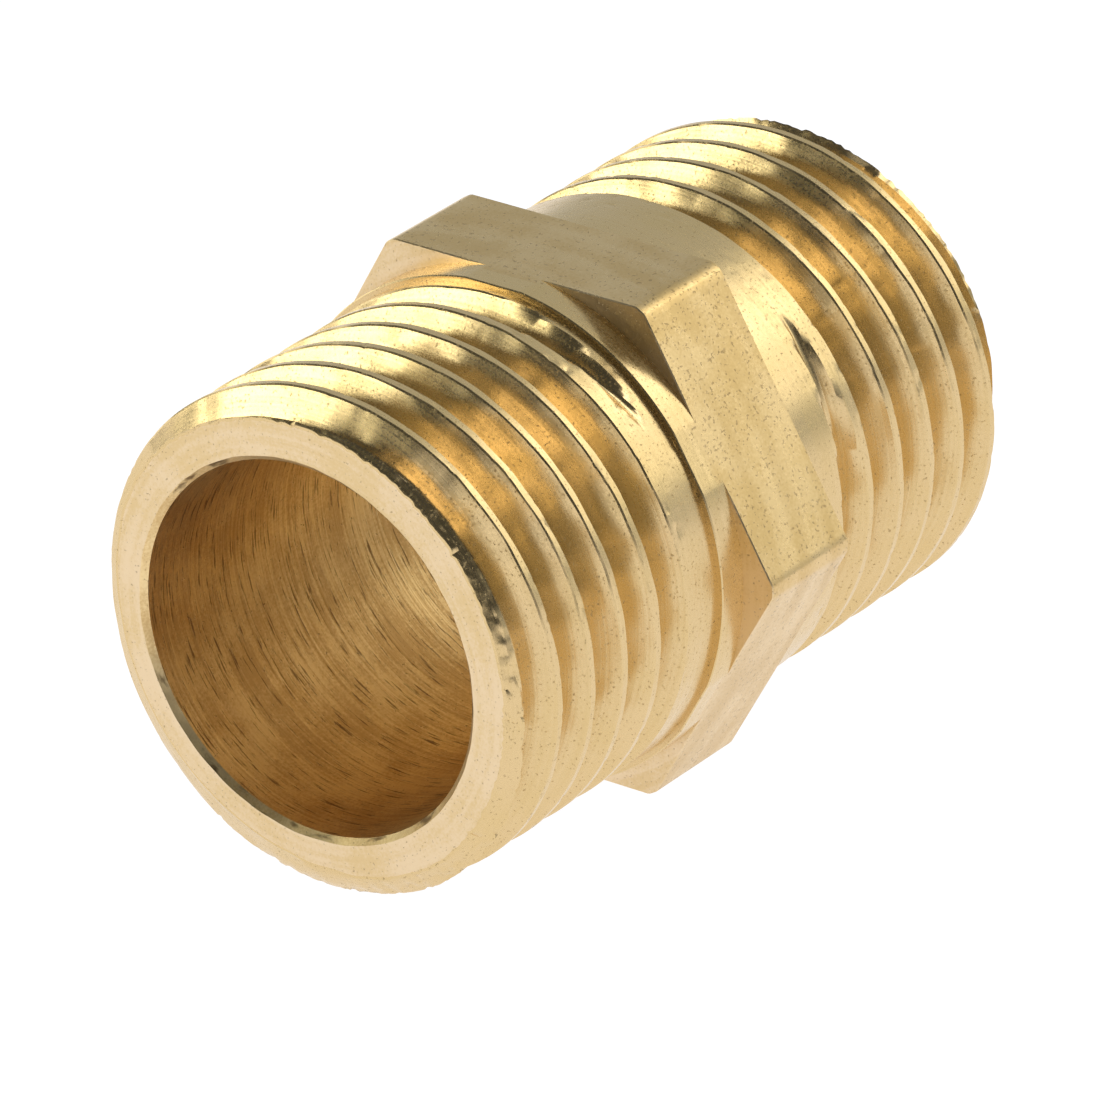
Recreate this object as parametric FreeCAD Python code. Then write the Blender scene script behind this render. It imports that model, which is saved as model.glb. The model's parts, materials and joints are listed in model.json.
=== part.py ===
import FreeCAD, Part
import math
import os

# Hex nipple, turned in one piece from hexagonal brass bar.
# The pipe axis is X and the origin is the middle of the hexagon.
# +Z is up: the nipple lies on one hexagon flat.
# Angles around the axis are measured from +Y towards +Z.

# Driving dimensions (mm)
TOTAL_LENGTH = 20.8
HEX_WIDTH = 3.2
ACROSS_FLATS = 13.4
CORNER_DIAMETER = 15.3
BORE_DIAMETER = 9.9
END_FACE_DIAMETER = 12.2
COLLAR_DIAMETER = 13.5
COLLAR_LENGTH = 0.85
BORE_EDGE_BREAK = 0.15

# Parallel pipe thread G 1/4: 19 threads to the inch, 55 degrees between the flanks, right hand
THREAD_DIAMETER = 13.157
THREAD_PITCH = 25.4 / 19
FLANK_ANGLE = math.radians(55 / 2)
SHARP_HEIGHT = THREAD_PITCH / (2 * math.tan(FLANK_ANGLE))
THREAD_DEPTH = SHARP_HEIGHT * 2 / 3
ROOT_RADIUS = 0.137329 * THREAD_PITCH

# Where each groove stops short of the hexagon: distance from the hexagon's middle, and angle
GROOVE_STOP = {"front": (3.05, 139.0), "rear": (3.30, 133.0)}

# The blank is revolved in equal sectors, so that each turn of the crest is made of short cylinder faces.
# The first sector starts at an angle between the two groove stops, clear of both.
SECTORS = 8
SECTOR_START = 135.8

# How far the groove cutter reaches outside the crest. More would make neighbouring turns of it overlap.
CUTTER_OVERSIZE = 0.17

ORIGIN = FreeCAD.Vector(0, 0, 0)
ALONG = FreeCAD.Vector(1, 0, 0)
HALF_LENGTH = TOTAL_LENGTH / 2
HALF_HEX = HEX_WIDTH / 2
THREAD_RADIUS = THREAD_DIAMETER / 2
END_CHAMFER = THREAD_RADIUS - END_FACE_DIAMETER / 2


def point(x, radius):
    """A point of a profile that is revolved around the X axis."""
    return FreeCAD.Vector(x, radius, 0)


def filled(outline):
    """The flat face inside a closed outline of points."""
    return Part.Face(Part.makePolygon(outline + outline[:1]))


def turned_blank():
    """The body before threading: end chamfers, thread blanks, front collar, and a disc for the hexagon."""
    collar = COLLAR_DIAMETER / 2
    corner = CORNER_DIAMETER / 2
    face = END_FACE_DIAMETER / 2
    profile = filled([
        point(-HALF_LENGTH, 0),
        point(-HALF_LENGTH, face),
        point(-HALF_LENGTH + END_CHAMFER, THREAD_RADIUS),
        point(-HALF_HEX - COLLAR_LENGTH, THREAD_RADIUS),
        point(-HALF_HEX - COLLAR_LENGTH, collar),
        point(-HALF_HEX, collar),
        point(-HALF_HEX, corner),
        point(HALF_HEX, corner),
        point(HALF_HEX, THREAD_RADIUS),
        point(HALF_LENGTH - END_CHAMFER, THREAD_RADIUS),
        point(HALF_LENGTH, face),
        point(HALF_LENGTH, 0),
    ])
    step = 360 / SECTORS
    sectors = []
    for index in range(SECTORS):
        sector = profile.revolve(ORIGIN, ALONG, step)
        sector.rotate(ORIGIN, ALONG, SECTOR_START + index * step)
        sectors.append(sector)
    return sectors[0].multiFuse(sectors[1:])


def outside_hexagon():
    """Everything outside the bar's hexagon. It flattens the disc, and the front collar a little."""
    reach = ACROSS_FLATS / math.sqrt(3)
    corners = []
    for index in range(6):
        angle = math.radians(60 * index)
        corners.append(FreeCAD.Vector(-HALF_LENGTH, reach * math.cos(angle), reach * math.sin(angle)))
    hexagon = filled(corners).extrude(ALONG * TOTAL_LENGTH)
    disc = Part.makeCylinder(CORNER_DIAMETER, TOTAL_LENGTH, point(-HALF_LENGTH, 0), ALONG)
    return disc.cut(hexagon)


def groove_profile():
    """The groove's cross section around x = 0: a 55 degree V with a round root, open beyond the crest."""
    root = THREAD_RADIUS - THREAD_DEPTH
    outside = THREAD_RADIUS + CUTTER_OVERSIZE
    touch_x = ROOT_RADIUS * math.cos(FLANK_ANGLE)
    touch_r = root + ROOT_RADIUS * (1 - math.sin(FLANK_ANGLE))
    outer_x = touch_x + (outside - touch_r) * math.tan(FLANK_ANGLE)
    arc = Part.Arc(point(-touch_x, touch_r), point(0, root), point(touch_x, touch_r)).toShape()
    right = Part.makeLine(point(touch_x, touch_r), point(outer_x, outside))
    top = Part.makeLine(point(outer_x, outside), point(-outer_x, outside))
    left = Part.makeLine(point(-outer_x, outside), point(-touch_x, touch_r))
    return Part.Wire([arc, right, top, left])


def groove_turns(end):
    """One right-hand helical groove, in single turns from its stop near the hexagon to past the end."""
    stop, angle = GROOVE_STOP[end]
    helix = Part.makeHelix(THREAD_PITCH, THREAD_PITCH, THREAD_RADIUS - THREAD_DEPTH)
    # a helix is made around Z from +X: turn it so that it climbs along X from +Y
    helix.Placement = FreeCAD.Placement(ORIGIN, FreeCAD.Rotation(FreeCAD.Vector(1, 1, 1), 120))
    turn = Part.Wire(helix.Edges).makePipeShell([groove_profile()], True, True)
    outwards = 1
    if end == "front":
        turn.rotate(ORIGIN, FreeCAD.Vector(0, 0, 1), 180)
        outwards = -1
        angle -= 180
    turn.rotate(ORIGIN, ALONG, angle)
    turns = []
    for index in range(math.ceil((HALF_LENGTH - stop) / THREAD_PITCH) + 1):
        piece = turn.copy()
        piece.translate(ALONG * outwards * (stop + index * THREAD_PITCH))
        turns.append(piece)
    return turns


def bore_tool():
    """The through bore with its broken edges."""
    radius = BORE_DIAMETER / 2
    wide = radius + BORE_EDGE_BREAK
    face = filled([
        point(-HALF_LENGTH, 0),
        point(-HALF_LENGTH, wide),
        point(-HALF_LENGTH + BORE_EDGE_BREAK, radius),
        point(HALF_LENGTH - BORE_EDGE_BREAK, radius),
        point(HALF_LENGTH, wide),
        point(HALF_LENGTH, 0),
    ])
    return face.revolve(ORIGIN, ALONG, 360)


def nipple_body():
    """The finished piece: the blank, its six flats, the two threads turn by turn, and the bore."""
    body = turned_blank().cut(outside_hexagon())
    for turn in groove_turns("front") + groove_turns("rear"):
        body = body.cut(turn)
    return body.cut(bore_tool()).Solids[0]


os.makedirs("parts", exist_ok=True)
nipple_body().exportStep("parts/nipple_body.step")
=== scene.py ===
import json
import math

import bmesh
import bpy
from mathutils import Matrix, Vector, noise


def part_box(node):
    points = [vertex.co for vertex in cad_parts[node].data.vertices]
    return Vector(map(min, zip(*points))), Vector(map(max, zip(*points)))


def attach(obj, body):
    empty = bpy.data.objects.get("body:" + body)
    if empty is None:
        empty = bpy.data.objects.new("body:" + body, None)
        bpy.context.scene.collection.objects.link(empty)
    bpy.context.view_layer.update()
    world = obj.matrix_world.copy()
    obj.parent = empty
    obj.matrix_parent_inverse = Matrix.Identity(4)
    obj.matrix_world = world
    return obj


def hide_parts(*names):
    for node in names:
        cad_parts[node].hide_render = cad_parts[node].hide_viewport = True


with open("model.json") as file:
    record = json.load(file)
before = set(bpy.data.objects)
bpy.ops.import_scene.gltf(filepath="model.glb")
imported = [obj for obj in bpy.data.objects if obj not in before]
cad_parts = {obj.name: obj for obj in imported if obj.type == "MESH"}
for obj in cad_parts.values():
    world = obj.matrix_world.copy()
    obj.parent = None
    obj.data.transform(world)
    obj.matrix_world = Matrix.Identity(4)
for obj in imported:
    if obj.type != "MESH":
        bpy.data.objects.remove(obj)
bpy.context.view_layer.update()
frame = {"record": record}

# The brass hex nipple as one closed mesh that stands for the CAD solid, with the marks of its machining.
# Lengths are in metres. Angles round the pipe axis X are in degrees, from +Y towards +Z.
MM = 0.001

# Sizes from the frame
mounts = {mount["name"]: mount for mount in frame["record"]["mounts"]}
box_low, box_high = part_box("nipple_body")


def wall(name):
    """Where a round mount's wall begins and ends along X."""
    middle = mounts[name]["pos_m"][0]
    half = mounts[name]["dims"]["length_mm"] * MM / 2
    return middle - half, middle + half


HALF_LENGTH = box_high.x
CORNER_RADIUS = box_high.y
APOTHEM = box_high.z
THREAD_RADIUS = mounts["rear_thread"]["dims"]["r_mm"] * MM
BORE_RADIUS = mounts["bore"]["dims"]["r_mm"] * MM
BORE_EDGE = HALF_LENGTH - wall("bore")[1]
FRONT_CREST, FRONT_COLLAR = wall("front_thread")
HALF_HEX, REAR_CREST = wall("rear_thread")
END_RADIUS = THREAD_RADIUS - (HALF_LENGTH + FRONT_CREST)

# The front collar, and the G 1/4 thread: 19 threads to the inch, 55 degrees between the flanks
COLLAR_RADIUS = 6.75 * MM
PITCH = 25.4 * MM / 19
FLANK = math.radians(55 / 2)
THREAD_DEPTH = PITCH / (3 * math.tan(FLANK))
ROOT_ROUND = 0.137329 * PITCH
ROOT_RADIUS = THREAD_RADIUS - THREAD_DEPTH
TOUCH = ROOT_ROUND * math.cos(FLANK)
TOUCH_RADIUS = ROOT_RADIUS + ROOT_ROUND * (1 - math.sin(FLANK))
HALF_GROOVE = TOUCH + (THREAD_RADIUS - TOUCH_RADIUS) * math.tan(FLANK)

# Each thread: the span of its strip of mesh, where its full crest ends, where its groove stops, and which way
# the groove runs from there
REAR_NECK = 2.7 * MM
THREADS = {
    "front": {
        "span": (-HALF_LENGTH, FRONT_COLLAR),
        "crest": FRONT_CREST,
        "stop": -3.05 * MM,
        "angle": 139.0,
        "outwards": -1,
    },
    "rear": {
        "span": (REAR_NECK, HALF_LENGTH),
        "crest": REAR_CREST,
        "stop": 3.30 * MM,
        "angle": 133.0,
        "outwards": 1,
    },
}

# What the tools left
FADE = 45.0  # degrees of turn over which a groove comes up to nothing at its stop
EDGE = 0.03 * MM  # a broken edge
RUNOUT = 0.22 * MM  # how far a flat runs out into the collar
WAVE = 0.004 * MM  # the unevenness of turned and drawn surfaces
NICK_DEPTH = 0.09 * MM
NICK_THRESHOLD = 0.38  # more leaves fewer nicks
TEAR = 0.042 * MM  # how far the crests' edges wander
BURR = 0.09 * MM  # how deep the rim is torn
BURR_SHARE = 0.2  # more tears more of the rim
BORE_EDGE_UNEVEN = 0.12
MIDDLE_WEAR = 0.3  # the wear on the collar and the neck, as a share of the threads'

# The mesh: columns round the axis, each a loop of points along the threads, the middle and the inside.
# The shares say where points lie between two places.
COLUMNS = 288
CLOSEST_COLUMNS = 0.45  # degrees from an even column to an exact one
BEVEL_EDGE = 0.3  # degrees from the edge of a corner's bevel to the columns beside it
STOP_WALL = 0.35  # degrees between the two columns of a groove's stop
CREST_EDGE = 0.02 * MM  # from a crest's edge to the points beside it
ROOT_SHARES = (0.37, 0.74, 1.0)
FLANK_SHARES = (0.33, 0.66)
CREST_SHARE = 0.93
SHOULDER_SHARES = (0, 0.3, 0.65, 1)
FLAT_SHARES = (-0.6, -0.2, 0.2, 0.6)
END_SHARES = (0.08, 0.35, 0.65, 0.92, 1.0)
BORE_STEPS = 22
SAME_POINT = 0.0005 * MM
NO_LENGTH = 0.0002 * MM
HOLE_SIDES = 6  # the largest hole that is filled
SHARP = math.radians(27)
NORMAL_WEIGHT = 80

FINISHES = ("turned", "flats", "faced", "bored")


def held(value, lowest, highest):
    """The value, or the limit that it goes past."""
    return min(max(value, lowest), highest)


def pitch_offsets():
    """Points along one pitch, from crest to crest, closer together in the root and at the crests' edges."""
    root = [TOUCH * share for share in ROOT_SHARES]
    flank = [TOUCH + (HALF_GROOVE - TOUCH) * share for share in FLANK_SHARES]
    crest = [HALF_GROOVE - CREST_EDGE, HALF_GROOVE + CREST_EDGE, PITCH / 2 * CREST_SHARE]
    side = root + flank + crest
    return [-PITCH / 2] + [-x for x in reversed(side)] + [0.0] + side


OFFSETS = pitch_offsets()
CREST_EDGES = [index for index, x in enumerate(OFFSETS) if abs(abs(x) - HALF_GROOVE) < 1.5 * CREST_EDGE]


def around(x, angle, radius):
    """The point at an angle round the axis."""
    turn = math.radians(angle)
    return Vector((x, radius * math.cos(turn), radius * math.sin(turn)))


def flat_radius(angle):
    """How far from the axis the hexagon's flats lie at an angle."""
    return APOTHEM / math.cos(math.radians(angle % 60 - 30))


def column_angles():
    """Even columns all round, with exact ones at the hexagon's edges, its run-outs and the groove stops."""
    bevel = 30 - math.degrees(math.acos(APOTHEM / CORNER_RADIUS))
    runout = math.degrees(math.acos(APOTHEM / COLLAR_RADIUS))
    exact = []
    for index in range(6):
        corner = 60 * index
        exact += [corner - bevel - BEVEL_EDGE, corner - bevel + BEVEL_EDGE]
        exact += [corner]
        exact += [corner + bevel - BEVEL_EDGE, corner + bevel + BEVEL_EDGE]
        exact += [corner + 30 - runout, corner + 30 + runout]
    for thread in THREADS.values():
        exact += [thread["angle"] - STOP_WALL, thread["angle"]]
    exact = [angle % 360 for angle in exact]
    even = [index * 360 / COLUMNS for index in range(COLUMNS)]
    clear = [a for a in even if all(abs((a - b + 180) % 360 - 180) > CLOSEST_COLUMNS for b in exact)]
    return sorted(clear + exact)


def groove_radius(away):
    """The thread's radius at a distance from the middle of the groove."""
    away = abs(away)
    if away <= TOUCH:
        return ROOT_RADIUS + ROOT_ROUND - math.sqrt(ROOT_ROUND ** 2 - away ** 2)
    return min(THREAD_RADIUS, TOUCH_RADIUS + (away - TOUCH) / math.tan(FLANK))


def grain(x, angle, size, seed, stretch=1.0):
    """Smooth noise at a place on the thread's outside, in features of a size.

    The stretch draws them out round the axis.
    """
    return noise.noise(around(x, angle, THREAD_RADIUS / stretch) / size + Vector((seed, seed, seed)))


def wear(x, angle):
    """How much lower the turned surface lies than its drawing: a faint wave, and a few nicks."""
    wave = WAVE * (1 + grain(x, angle, size=0.5 * MM, seed=3.0, stretch=5.0))
    nick = max(0.0, grain(x, angle, size=0.22 * MM, seed=17.0) - NICK_THRESHOLD)
    return wave + NICK_DEPTH * nick


def thread_points(thread, angle):
    """The (x, radius) points of one threaded end at one column.

    Their number is fixed, and they slide along the helix from column to column.
    """
    first, last = thread["span"]
    share = (angle - thread["angle"]) % 360 / 360
    lowest = math.floor((first - thread["stop"]) / PITCH - 0.5)
    highest = math.ceil((last - thread["stop"]) / PITCH - 0.5)
    stations = []
    for turn in range(lowest, highest + 1):
        for offset in OFFSETS:
            x = thread["stop"] + PITCH * (turn + share) + offset
            torn = TEAR * grain(held(x, first, last), angle, size=0.22 * MM, seed=23.0, stretch=4.0)
            stations.append((held(x + torn, first, last), torn))
    nearest = min(range(len(stations)), key=lambda i: abs(stations[i][0] - thread["crest"]))
    stations[nearest] = (thread["crest"], 0.0)
    points = []
    for x, torn in stations:
        along = (x - torn - thread["stop"]) / PITCH - share
        turn = math.floor(along + 0.5)
        cut = thread["outwards"] * (turn + share) * 360 / FADE
        lift = THREAD_DEPTH * (1 - held(cut, 0.0, 1.0))
        radius = min(groove_radius((along - turn) * PITCH) + lift, THREAD_RADIUS) - wear(x, angle)
        burr = BURR * max(0.0, BURR_SHARE + grain(x, angle, size=0.18 * MM, seed=5.0))
        chamfer = END_RADIUS + HALF_LENGTH - abs(x) - burr
        points.append((x, min(radius, chamfer)))
    return points


def middle_points(angle):
    """The (x, radius) points of the front collar, the hexagon with its shoulders and the rear neck."""
    worn = MIDDLE_WEAR * wear(0, angle)
    uneven = WAVE * (1 + grain(0, angle, size=1.6 * MM, seed=9.0))
    hexagon = min(CORNER_RADIUS, flat_radius(angle)) - uneven
    front = min(COLLAR_RADIUS - worn, hexagon)
    rear = THREAD_RADIUS - worn
    soft = min(EDGE, (hexagon - front) / 3)
    front_shoulder = hexagon - soft - front
    rear_shoulder = hexagon - EDGE / 2 - rear
    points = [
        (FRONT_COLLAR, front - EDGE),
        (FRONT_COLLAR + EDGE, front),
        (-HALF_HEX - RUNOUT, front),
    ]
    points += [(-HALF_HEX, front + front_shoulder * share) for share in SHOULDER_SHARES]
    points += [(-HALF_HEX + soft, hexagon)]
    points += [(HALF_HEX * share, hexagon) for share in FLAT_SHARES]
    points += [(HALF_HEX - EDGE / 2, hexagon)]
    points += [(HALF_HEX, rear + rear_shoulder * share) for share in reversed(SHOULDER_SHARES)]
    points += [((REAR_NECK + HALF_HEX) / 2, rear)]
    return points


def middle_runs(angle):
    """The finish and the number of faces of each run of faces along middle_points, at an angle."""
    runout = "flats" if flat_radius(angle) < COLLAR_RADIUS else "turned"
    shoulder = ("faced", len(SHOULDER_SHARES))
    return [("turned", 2), (runout, 1), shoulder, ("flats", len(FLAT_SHARES) + 1), shoulder, ("turned", 1)]


def end_face(x, angle, rim):
    """The points of an end face from its rim in to the bore's broken edge."""
    inner = BORE_RADIUS + BORE_EDGE * (1 + BORE_EDGE_UNEVEN * grain(x, angle, size=0.6 * MM, seed=2.0))
    return [(x, rim + (inner - rim) * share) for share in END_SHARES]


def bore_points(angle):
    """The bore's points from its rear edge to its front edge."""
    last = HALF_LENGTH - BORE_EDGE
    points = []
    for index in range(BORE_STEPS + 1):
        x = last - 2 * last * index / BORE_STEPS
        points.append((x, BORE_RADIUS + WAVE * grain(x, angle, size=0.5 * MM, seed=11.0, stretch=5.0)))
    return points


def inside_points(angle, rear_rim, front_rim):
    """The points from the rear rim through the bore to the front rim."""
    rear = end_face(HALF_LENGTH, angle, rear_rim)
    front = end_face(-HALF_LENGTH, angle, front_rim)
    return rear + bore_points(angle) + front[::-1]


def inside_runs():
    """The finish and the number of faces of each run of faces along inside_points."""
    face = ("faced", len(END_SHARES) - 1)
    return [face, ("bored", BORE_STEPS + 2), face]


def column_points(angle):
    """All points of one column, in four strips that follow one another in a loop."""
    front = thread_points(THREADS["front"], angle)
    rear = thread_points(THREADS["rear"], angle)
    return {
        "front": front,
        "middle": middle_points(angle),
        "rear": rear,
        "inside": inside_points(angle, rear_rim=rear[-1][1], front_rim=front[0][1]),
    }


def build_nipple():
    """The whole closed surface: one loop of points at each column, joined to its neighbours."""
    mesh = bmesh.new()
    angles = column_angles()
    columns = []
    for angle in angles:
        columns.append({
            name: [mesh.verts.new(around(x, angle, radius)) for x, radius in points]
            for name, points in column_points(angle).items()
        })

    def sheet(one, other, finish):
        """Faces between two neighbouring lines of points."""
        for index in range(len(one) - 1):
            face = mesh.faces.new((one[index], one[index + 1], other[index + 1], other[index]))
            face.material_index = FINISHES.index(finish)

    def sheets(one, other, runs):
        """Sheets that follow one another, each run of faces in its own finish."""
        start = 0
        for finish, count in runs:
            end = start + count + 1
            sheet(one[start:end], other[start:end], finish)
            start += count

    for number, angle in enumerate(angles):
        one = columns[number]
        other = columns[(number + 1) % len(angles)]
        following = angles[(number + 1) % len(angles)]
        for name, thread in THREADS.items():
            shift = len(OFFSETS) if following == thread["angle"] else 0
            points = len(one[name]) - shift
            sheet(one[name][:points], other[name][shift:], "turned")
            for index in range(points):
                if index % len(OFFSETS) in CREST_EDGES:
                    mesh.edges.get((one[name][index], other[name][index + shift])).smooth = False
        between = angle + (following - angle) % 360 / 2
        sheets(one["middle"], other["middle"], middle_runs(between))
        sheets(one["inside"], other["inside"], inside_runs())
        strips = list(one)
        for strip, after in zip(strips, strips[1:] + strips[:1]):
            mesh.faces.new((one[strip][-1], one[after][0], other[after][0], other[strip][-1]))

    bmesh.ops.remove_doubles(mesh, verts=mesh.verts, dist=SAME_POINT)
    bmesh.ops.dissolve_degenerate(mesh, edges=mesh.edges, dist=NO_LENGTH)
    bmesh.ops.holes_fill(mesh, edges=mesh.edges, sides=HOLE_SIDES)
    bmesh.ops.recalc_face_normals(mesh, faces=mesh.faces)
    for edge in mesh.edges:
        if edge.calc_face_angle(0.0) > SHARP:
            edge.smooth = False
    data = bpy.data.meshes.new("hex_nipple")
    mesh.to_mesh(data)
    mesh.free()
    for polygon in data.polygons:
        polygon.use_smooth = True
    body = bpy.data.objects.new("hex_nipple", data)
    bpy.context.scene.collection.objects.link(body)
    shading = body.modifiers.new("face weighted normals", "WEIGHTED_NORMAL")
    shading.keep_sharp = True
    shading.weight = NORMAL_WEIGHT
    return body


class Nodes:
    """A short way to write a node tree: each call adds one node and returns one of its outputs."""

    def __init__(self, tree):
        self.tree = tree
        self.tree.nodes.clear()

    def add(self, kind, output, settings=None, **inputs):
        """A node of a kind. Its inputs are given by name, or by number as i0, i1 and so on."""
        node = self.tree.nodes.new(kind)
        for name, value in (settings or {}).items():
            setattr(node, name, value)
        for name, value in inputs.items():
            numbered = name[0] == "i" and name[1:].isdigit()
            socket = node.inputs[int(name[1:]) if numbered else name]
            if isinstance(value, bpy.types.NodeSocket):
                self.tree.links.new(value, socket)
            else:
                socket.default_value = value
        return node.outputs[output] if output else node

    def maths(self, operation, a, b):
        return self.add("ShaderNodeMath", "Value", {"operation": operation}, i0=a, i1=b)

    def vector(self, operation, a, b):
        return self.add("ShaderNodeVectorMath", "Vector", {"operation": operation}, i0=a, i1=b)

    def scaled(self, place, scale):
        return self.add("ShaderNodeVectorMath", "Vector", {"operation": "SCALE"}, i0=place, Scale=scale)

    def average(self, a, b, share):
        """a and b together, with b's share of the whole."""
        return self.maths("ADD", self.maths("MULTIPLY", a, 1 - share), self.maths("MULTIPLY", b, share))

    def stretched(self, value, low, high, new_low=0.0, new_high=1.0):
        """value from low..high to new_low..new_high, held at the ends."""
        settings = {"interpolation_type": "SMOOTHSTEP"}
        limits = {"i1": low, "i2": high, "i3": new_low, "i4": new_high}
        return self.add("ShaderNodeMapRange", "Result", settings, i0=value, **limits)

    def mixed(self, share, a, b):
        """Colour a where share is 0, and b where it is 1."""
        return self.add("ShaderNodeMix", 2, {"data_type": "RGBA"}, i0=share, i6=a, i7=b)

    def noise(self, place, detail=3.0):
        return self.add("ShaderNodeTexNoise", None, Vector=place, Scale=1.0, Detail=detail).outputs[0]

    def surface(self, sockets):
        """The shader of the whole surface, from what goes into each of its sockets."""
        shader = self.add("ShaderNodeBsdfPrincipled", "BSDF", None, **sockets)
        self.add("ShaderNodeOutputMaterial", None, None, Surface=shader)


# What every finish of the brass has
OUTWARDS_SHARE = 0.7  # how far along its path a tool counts as moved when it moves outwards
LINE_LENGTH = 1.2  # radians
PATCH_SIZE = 1.6 * MM  # slow changes of tone
GRAIN_SIZE = 0.07 * MM
GRAIN_HEIGHT = 0.0003 * MM
PIT_THRESHOLDS = (0.74, 0.79)  # where a pit begins, and where it is fully dark
PIT_DEPTH = 0.005 * MM
PIT_DARKNESS = 0.4
SCORE_WIDTH = 0.07 * MM
SCORE_LENGTH = 0.16  # radians


def brass(name, colour, stain, roughness, line, line_height, pits, pit_size, scores):
    """Machined brass, with tool lines that run round the axis, and stain where it has changed colour.

    roughness is (smoothest, roughest), line the spacing of the tool lines and line_height their depth,
    pits the share of pitted surface, and scores how dark the long thin scores are.
    """
    material = bpy.data.materials.new(name)
    material.use_nodes = True
    nodes = Nodes(material.node_tree)
    place = nodes.add("ShaderNodeTexCoord", "Object")
    across = nodes.vector("MULTIPLY", place, (0.0, 1.0, 1.0))
    radius = nodes.add("ShaderNodeVectorMath", "Value", {"operation": "LENGTH"}, i0=across)
    direction = nodes.add("ShaderNodeVectorMath", "Vector", {"operation": "NORMALIZE"}, i0=across)
    x = nodes.add("ShaderNodeSeparateXYZ", "X", None, i0=place)
    tool = nodes.maths("ADD", x, nodes.maths("MULTIPLY", radius, OUTWARDS_SHARE))

    def tool_noise(spacing, length, detail):
        """Noise that runs round the axis; length is how many radians its features are long."""
        turn = nodes.scaled(direction, 1 / length)
        moved = nodes.maths("MULTIPLY", tool, 1 / spacing)
        step = nodes.add("ShaderNodeCombineXYZ", "Vector", None, i0=moved)
        return nodes.noise(nodes.vector("ADD", turn, step), detail)

    lines = tool_noise(line, LINE_LENGTH, detail=3.0)
    slow = nodes.noise(nodes.scaled(place, 1 / PATCH_SIZE))
    fine = nodes.noise(nodes.scaled(place, 1 / GRAIN_SIZE))
    spots = nodes.noise(nodes.scaled(place, 1 / pit_size), detail=2.0)
    pit_start, pit_full = PIT_THRESHOLDS
    pitted = nodes.stretched(spots, low=pit_start - pits, high=pit_full - pits)
    streaks = tool_noise(SCORE_WIDTH, SCORE_LENGTH, detail=4.0)
    scored = nodes.maths("MULTIPLY", nodes.stretched(streaks, low=0.56, high=0.70), scores)

    patches = nodes.average(nodes.average(lines, slow, share=0.6), fine, share=0.25)
    shown = nodes.mixed(nodes.stretched(patches, low=0.40, high=0.60), colour, stain)
    shown = nodes.mixed(nodes.maths("MULTIPLY", pitted, PIT_DARKNESS), shown, DARK)
    shown = nodes.mixed(scored, shown, DARK)

    smoothest, roughest = roughness
    worked = nodes.average(lines, fine, share=0.5)
    rough = nodes.stretched(worked, low=0.3, high=0.7, new_low=smoothest, new_high=roughest)

    raised = nodes.maths("MULTIPLY", lines, line_height)
    raised = nodes.maths("ADD", raised, nodes.maths("MULTIPLY", fine, GRAIN_HEIGHT))
    height = nodes.maths("SUBTRACT", raised, nodes.maths("MULTIPLY", pitted, PIT_DEPTH))
    bump = nodes.add("ShaderNodeBump", "Normal", None, Strength=1.0, Distance=1.0, Height=height)
    nodes.surface({"Base Color": shown, "Metallic": 1.0, "Roughness": rough, "Normal": bump})
    return material


BRASS = (0.73, 0.54, 0.28, 1)
GOLD = (0.71, 0.52, 0.25, 1)
SATIN = (0.75, 0.55, 0.28, 1)
OLIVE = (0.66, 0.46, 0.20, 1)
PINK = (0.80, 0.62, 0.39, 1)
WARM = (0.88, 0.67, 0.35, 1)
BROWN = (0.66, 0.45, 0.20, 1)
DARK = (0.14, 0.075, 0.03, 1)
materials = {
    "turned": brass(
        "brass_turned", BRASS, GOLD, roughness=(0.21, 0.34), line=0.08 * MM, line_height=0.0024 * MM,
        pits=0.08, pit_size=0.07 * MM, scores=0.0,
    ),
    "flats": brass(
        "brass_drawn_flats", SATIN, OLIVE, roughness=(0.26, 0.38), line=0.6 * MM, line_height=0.0010 * MM,
        pits=0.12, pit_size=0.09 * MM, scores=0.0,
    ),
    "faced": brass(
        "brass_faced", PINK, BRASS, roughness=(0.30, 0.42), line=0.12 * MM, line_height=0.0012 * MM,
        pits=0.09, pit_size=0.08 * MM, scores=0.0,
    ),
    "bored": brass(
        "brass_bored", WARM, BROWN, roughness=(0.34, 0.50), line=0.11 * MM, line_height=0.0080 * MM,
        pits=0.05, pit_size=0.10 * MM, scores=0.8,
    ),
}

nipple = build_nipple()
for name in FINISHES:
    nipple.data.materials.append(materials[name])
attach(nipple, "root")
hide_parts("nipple_body")

# The camera: its bearing and height as seen from the nipple, its roll, and how far the aim lies right and up
AZIMUTH = math.radians(-52.83)
ELEVATION = math.radians(25.97)
ROLL = math.radians(-1.75)
DISTANCE = 239.6 * MM
AIM_RIGHT = -0.246 * MM
AIM_UP = -1.397 * MM
LENS = 314.4
SENSOR_WIDTH = 36
NEAREST_SEEN = 0.01
FARTHEST_SEEN = 10


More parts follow.
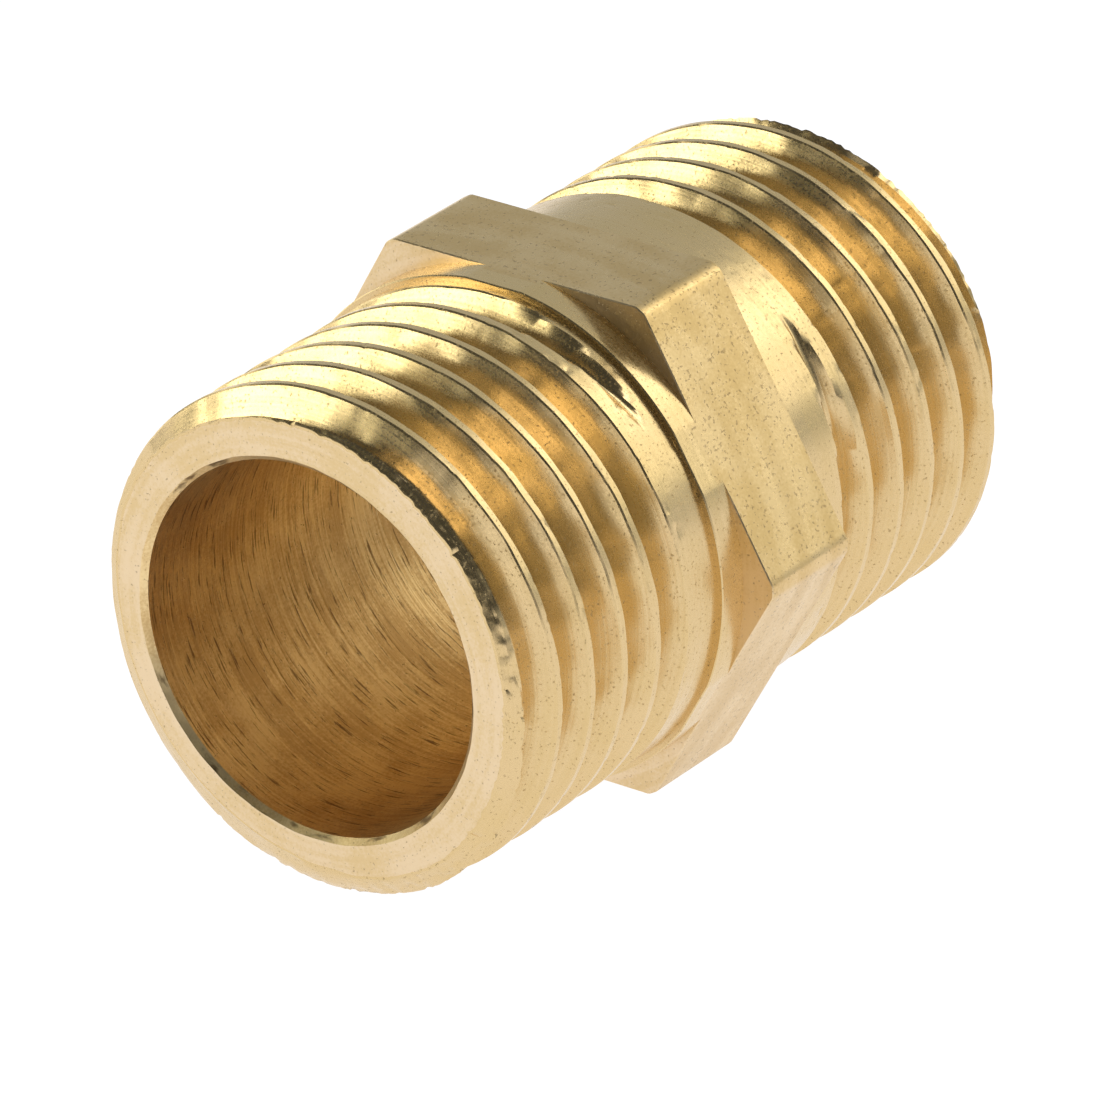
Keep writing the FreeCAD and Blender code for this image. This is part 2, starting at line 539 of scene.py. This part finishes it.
def add_camera():
    """The camera, rolled about its line to the nipple's middle and then turned to its aim."""
    away = Vector((
        math.sin(AZIMUTH) * math.cos(ELEVATION),
        -math.cos(AZIMUTH) * math.cos(ELEVATION),
        math.sin(ELEVATION),
    ))
    level = Vector((math.cos(AZIMUTH), math.sin(AZIMUTH), 0))
    upright = away.cross(level)
    right = level * math.cos(ROLL) + upright * math.sin(ROLL)
    up = away.cross(right)
    place = away * DISTANCE
    aim = right * AIM_RIGHT + up * AIM_UP
    back = (place - aim).normalized()
    right = up.cross(back).normalized()
    up = back.cross(right)
    data = bpy.data.cameras.new("camera")
    data.lens = LENS
    data.sensor_width = SENSOR_WIDTH
    data.clip_start = NEAREST_SEEN
    data.clip_end = FARTHEST_SEEN
    camera = bpy.data.objects.new("camera", data)
    camera.matrix_world = Matrix((
        (right.x, up.x, back.x, place.x),
        (right.y, up.y, back.y, place.y),
        (right.z, up.z, back.z, place.z),
        (0, 0, 0, 1),
    ))
    bpy.context.scene.collection.objects.link(camera)
    bpy.context.scene.camera = camera


def add_softbox(name, direction, distance, size, strength, colour):
    """A rectangular area light that looks at the nipple from a direction; strength is its brightness."""
    width, height = size
    data = bpy.data.lights.new(name, "AREA")
    data.shape = "RECTANGLE"
    data.size = width
    data.size_y = height
    data.color = colour
    data.energy = strength * width * height * math.pi
    lamp = bpy.data.objects.new(name, data)
    toward = Vector(direction).normalized()
    lamp.location = toward * distance
    lamp.rotation_mode = "QUATERNION"
    lamp.rotation_quaternion = toward.to_track_quat("Z", "Y")
    lamp.visible_camera = False
    bpy.context.scene.collection.objects.link(lamp)


def add_table(half_width):
    """A pale table under the nipple, which shines by itself so that it looks white."""
    data = bpy.data.meshes.new("table")
    signs = ((-1, -1), (1, -1), (1, 1), (-1, 1))
    corners = [(half_width * x, half_width * y, box_low.z) for x, y in signs]
    data.from_pydata(corners, [], [(0, 1, 2, 3)])
    table = bpy.data.objects.new("table", data)
    bpy.context.scene.collection.objects.link(table)
    material = bpy.data.materials.new("table_white")
    material.use_nodes = True
    Nodes(material.node_tree).surface({
        "Base Color": (0.15, 0.15, 0.15, 1),
        "Roughness": 0.9,
        "Specular IOR Level": 0.0,
        "Emission Color": (0.97, 0.97, 1.0, 1),
        "Emission Strength": 1.0,
    })
    data.materials.append(material)


def add_surroundings():
    """A dim studio round the softboxes, brighter towards +X, with a white backdrop for the camera."""
    world = bpy.data.worlds.new("studio")
    bpy.context.scene.world = world
    world.use_nodes = True
    nodes = Nodes(world.node_tree)
    way = nodes.add("ShaderNodeSeparateXYZ", "X", None, i0=nodes.add("ShaderNodeTexCoord", "Generated"))
    strength = nodes.stretched(way, low=-0.5, high=0.9, new_low=0.06, new_high=0.58)
    dim = nodes.add("ShaderNodeBackground", "Background", None, Color=(0.92, 0.98, 1.0, 1), Strength=strength)
    white = nodes.add("ShaderNodeBackground", "Background", None, Color=(1, 1, 1, 1), Strength=1.0)
    seen = nodes.add("ShaderNodeLightPath", "Is Camera Ray")
    both = nodes.add("ShaderNodeMixShader", "Shader", None, i0=seen, i1=dim, i2=white)
    nodes.add("ShaderNodeOutputWorld", None, None, Surface=both)


# The softboxes' colours
WHITE = (1, 1, 1)
YELLOWISH = (1.0, 0.98, 0.84)
GREENISH = (0.97, 1.0, 0.88)
FAINTLY_GREEN = (0.97, 1.0, 0.9)

add_camera()
add_table(half_width=3.0)
add_surroundings()
add_softbox("softbox_right", (0.72, -0.44, 0.50), 0.30, size=(0.22, 0.20), strength=1.05, colour=YELLOWISH)
add_softbox("softbox_core", (0.72, -0.34, 0.60), 0.29, size=(0.07, 0.08), strength=0.8, colour=WHITE)
add_softbox("softbox_left", (-0.66, 0.64, 0.26), 0.30, size=(0.20, 0.13), strength=3.6, colour=GREENISH)
add_softbox("softbox_over", (0.14, -0.40, 0.91), 0.30, size=(0.18, 0.18), strength=2.3, colour=WHITE)
add_softbox("softbox_card", (-0.97, -0.16, 0.13), 0.30, size=(0.17, 0.09), strength=1.0, colour=WHITE)
add_softbox("softbox_side", (0.25, 0.92, 0.25), 0.32, size=(0.26, 0.18), strength=1.4, colour=FAINTLY_GREEN)
bpy.context.scene.view_settings.view_transform = "Standard"
